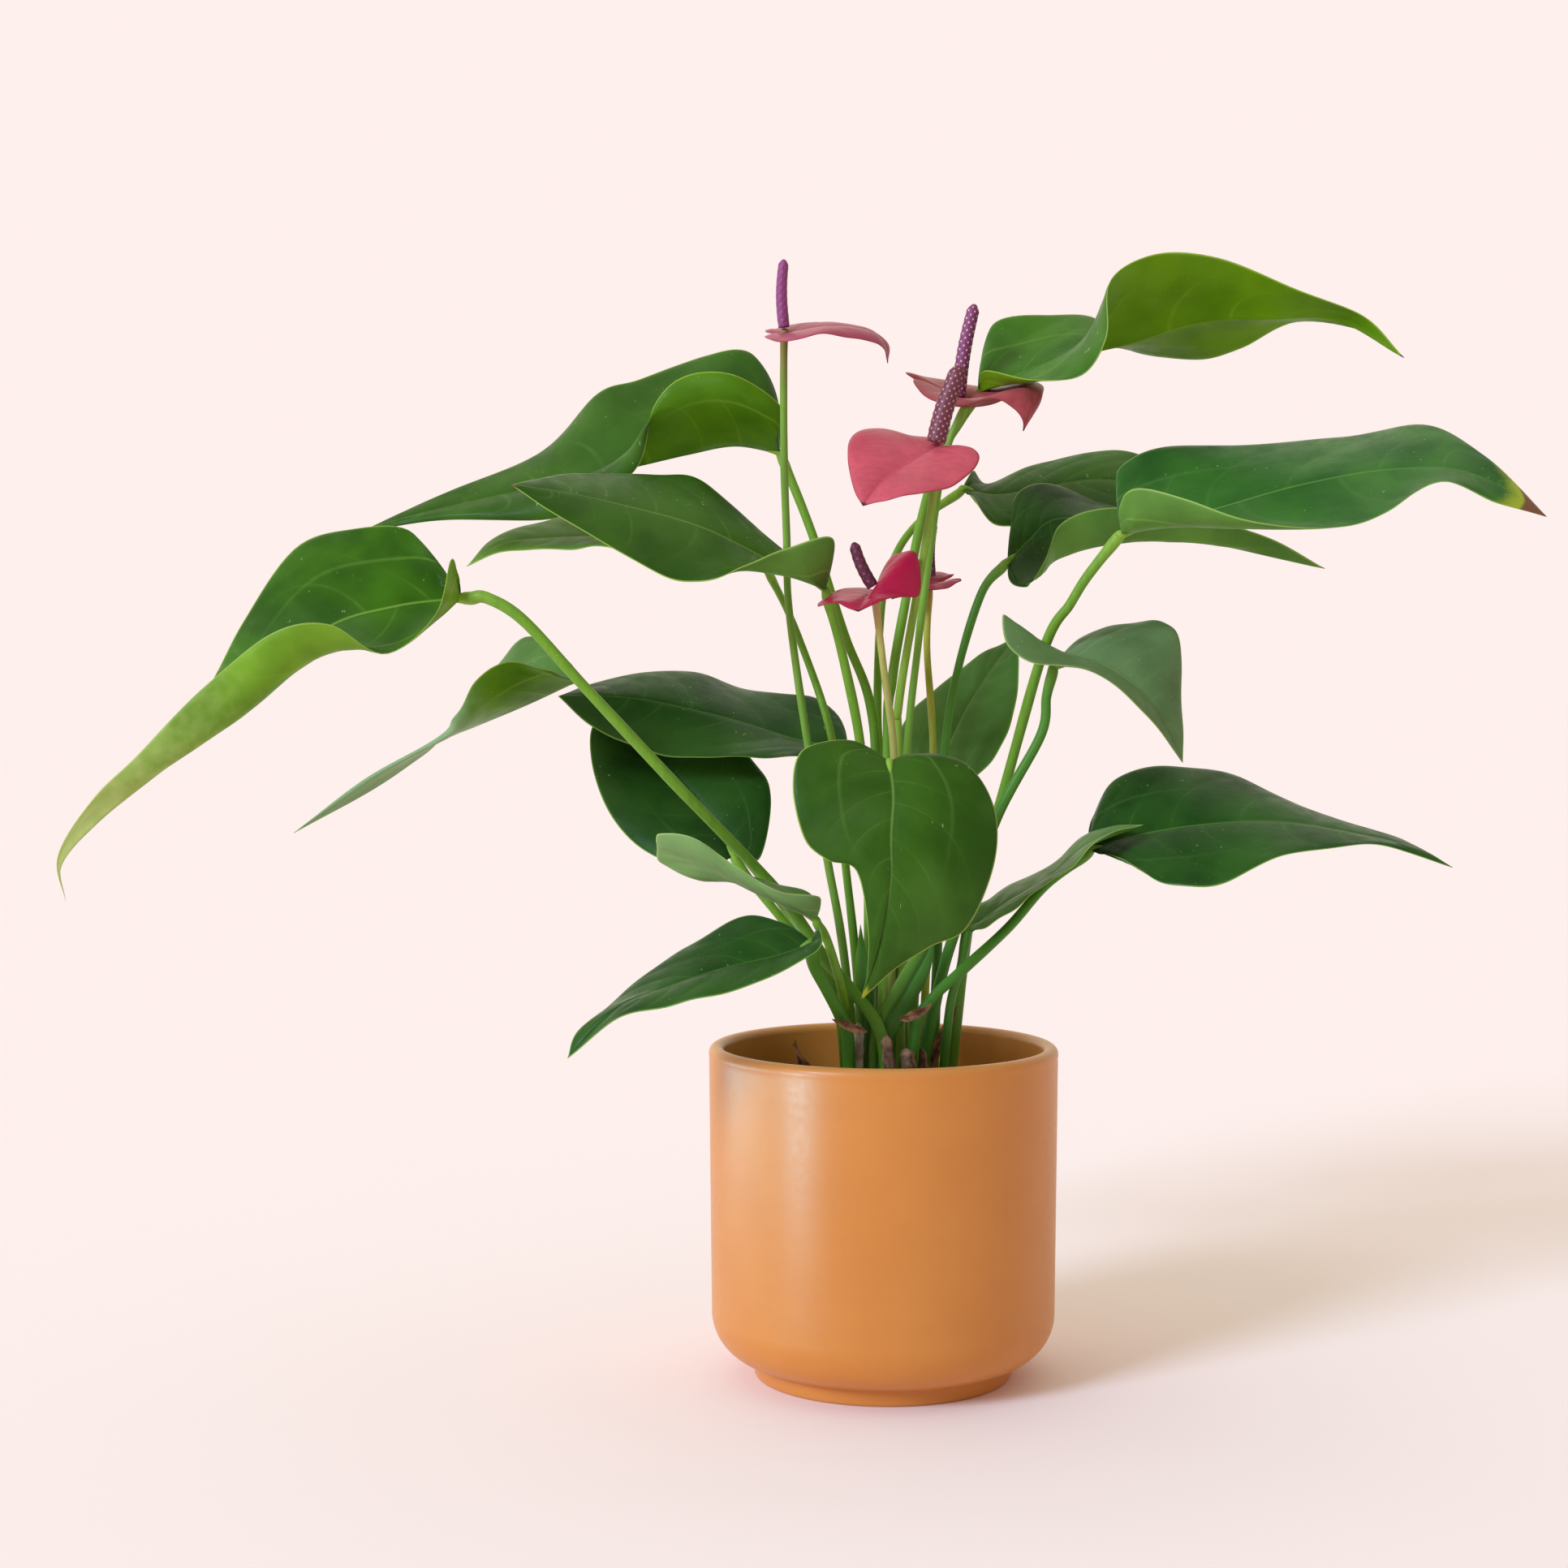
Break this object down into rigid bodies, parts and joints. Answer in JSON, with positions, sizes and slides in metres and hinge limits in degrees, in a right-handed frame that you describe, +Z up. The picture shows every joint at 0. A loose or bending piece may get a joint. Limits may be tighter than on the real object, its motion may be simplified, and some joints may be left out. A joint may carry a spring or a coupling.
{
  "type": "potted anthurium",
  "caption": "Flowering anthurium with long heart-shaped leaves and pink spathes, standing in a plain round ceramic pot.",
  "frame": {"origin": "middle of the pot's flat foot, on the surface it stands on", "axes": "+Z up, +X to the plant's right side, -Y to its front"},
  "size_m": [0.5235, 0.1886, 0.414],
  "materials": {
    "pot_ceramic": "satin, tan-orange, evenly coloured inside and out",
    "soil": null,
    "leaf_blade": "glossy dark green above, paler matte green below",
    "green_stem": "smooth yellow-green, slightly waxy",
    "spathe": "waxy salmon pink",
    "spadix": "purple with fine pale bumps",
    "dried_plant": "dry, brown, fibrous"
  },
  "bodies": {
    "root": {"pot": "pot_ceramic", "potting_soil": "soil", "woody_stem": "dried_plant", "blade_large_left": "leaf_blade", "petiole_large_left": "green_stem", "blade_slim_left": "leaf_blade", "petiole_slim_left": "green_stem", "blade_high_left": "leaf_blade", "petiole_high_left": "green_stem", "blade_mid_left": "leaf_blade", "petiole_mid_left": "green_stem", "blade_back_left": "leaf_blade", "petiole_back_left": "green_stem", "blade_dark_left": "leaf_blade", "petiole_dark_left": "green_stem", "blade_low_dark": "leaf_blade", "petiole_low_dark": "green_stem", "blade_rolled": "leaf_blade", "petiole_rolled": "green_stem", "blade_low_left": "leaf_blade", "petiole_low_left": "green_stem", "blade_front_heart": "leaf_blade", "petiole_front_heart": "green_stem", "blade_back_centre": "leaf_blade", "petiole_back_centre": "green_stem", "blade_small_right": "leaf_blade", "petiole_small_right": "green_stem", "blade_low_right": "leaf_blade", "petiole_low_right": "green_stem", "blade_long_right": "leaf_blade", "petiole_long_right": "green_stem", "blade_under_right": "leaf_blade", "petiole_under_right": "green_stem", "blade_back_right": "leaf_blade", "petiole_back_right": "green_stem", "blade_high_right": "leaf_blade", "petiole_high_right": "green_stem", "blade_narrow_right": "leaf_blade", "petiole_narrow_right": "green_stem", "spathe_tall_left": "spathe", "spadix_tall_left": "spadix", "stalk_tall_left": "green_stem", "spathe_back": "spathe", "spadix_back": "spadix", "stalk_back": "green_stem", "spathe_front": "spathe", "spadix_front": "spadix", "stalk_front": "green_stem", "spathe_low": "spathe", "spadix_low": "spadix", "stalk_low": "green_stem", "spathe_hidden": "spathe", "spadix_hidden": "spadix", "stalk_hidden": "green_stem", "dried_bract_left": "dried_plant", "dried_bract_right": "dried_plant", "dried_bract_front": "dried_plant", "dried_bract_crossing": "dried_plant", "green_sheath_right": "green_stem", "green_sheath_left": "green_stem"}
  },
  "joints": []
}
